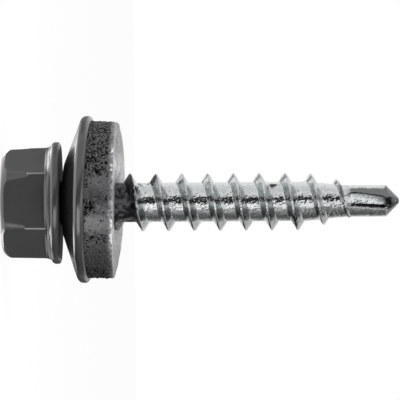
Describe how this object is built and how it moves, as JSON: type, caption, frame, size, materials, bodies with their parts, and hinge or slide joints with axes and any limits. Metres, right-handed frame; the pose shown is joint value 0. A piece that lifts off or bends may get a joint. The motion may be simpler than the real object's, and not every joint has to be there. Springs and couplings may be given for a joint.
{
  "type": "self drilling screw",
  "caption": "Hexagon flange head self drilling screw with right-hand thread, fluted drill point and a dished sealing washer with a rubber ring.",
  "frame": {"origin": "middle of the flat top of the hexagon head, on the surface that the screw stands on", "axes": "+Z along the shank from the head to the drill point; one flat of the hexagon faces -Y, 2.5 degrees off square; the screw stands on its head"},
  "size_m": [0.0141, 0.0141, 0.0336],
  "materials": {
    "plated_steel": "zinc plated carbon steel, bright and slightly mottled; head, flange and neck painted satin dark grey over the plating",
    "painted_steel": "satin dark grey paint on steel sheet",
    "sealing_rubber": "matt black rubber with a cut, pitted edge"
  },
  "bodies": {
    "screw": {"screw": "plated_steel"},
    "washer": {"washer_plate": "painted_steel", "sealing_ring": "sealing_rubber"}
  },
  "joints": [
    {"name": "washer_turn", "type": "hinge", "parent": "screw", "child": "washer", "pos_m": [-0.00028, 0, 0.00712], "axis": [0.0262, -0.0593, 0.9979], "continuous": true}
  ]
}
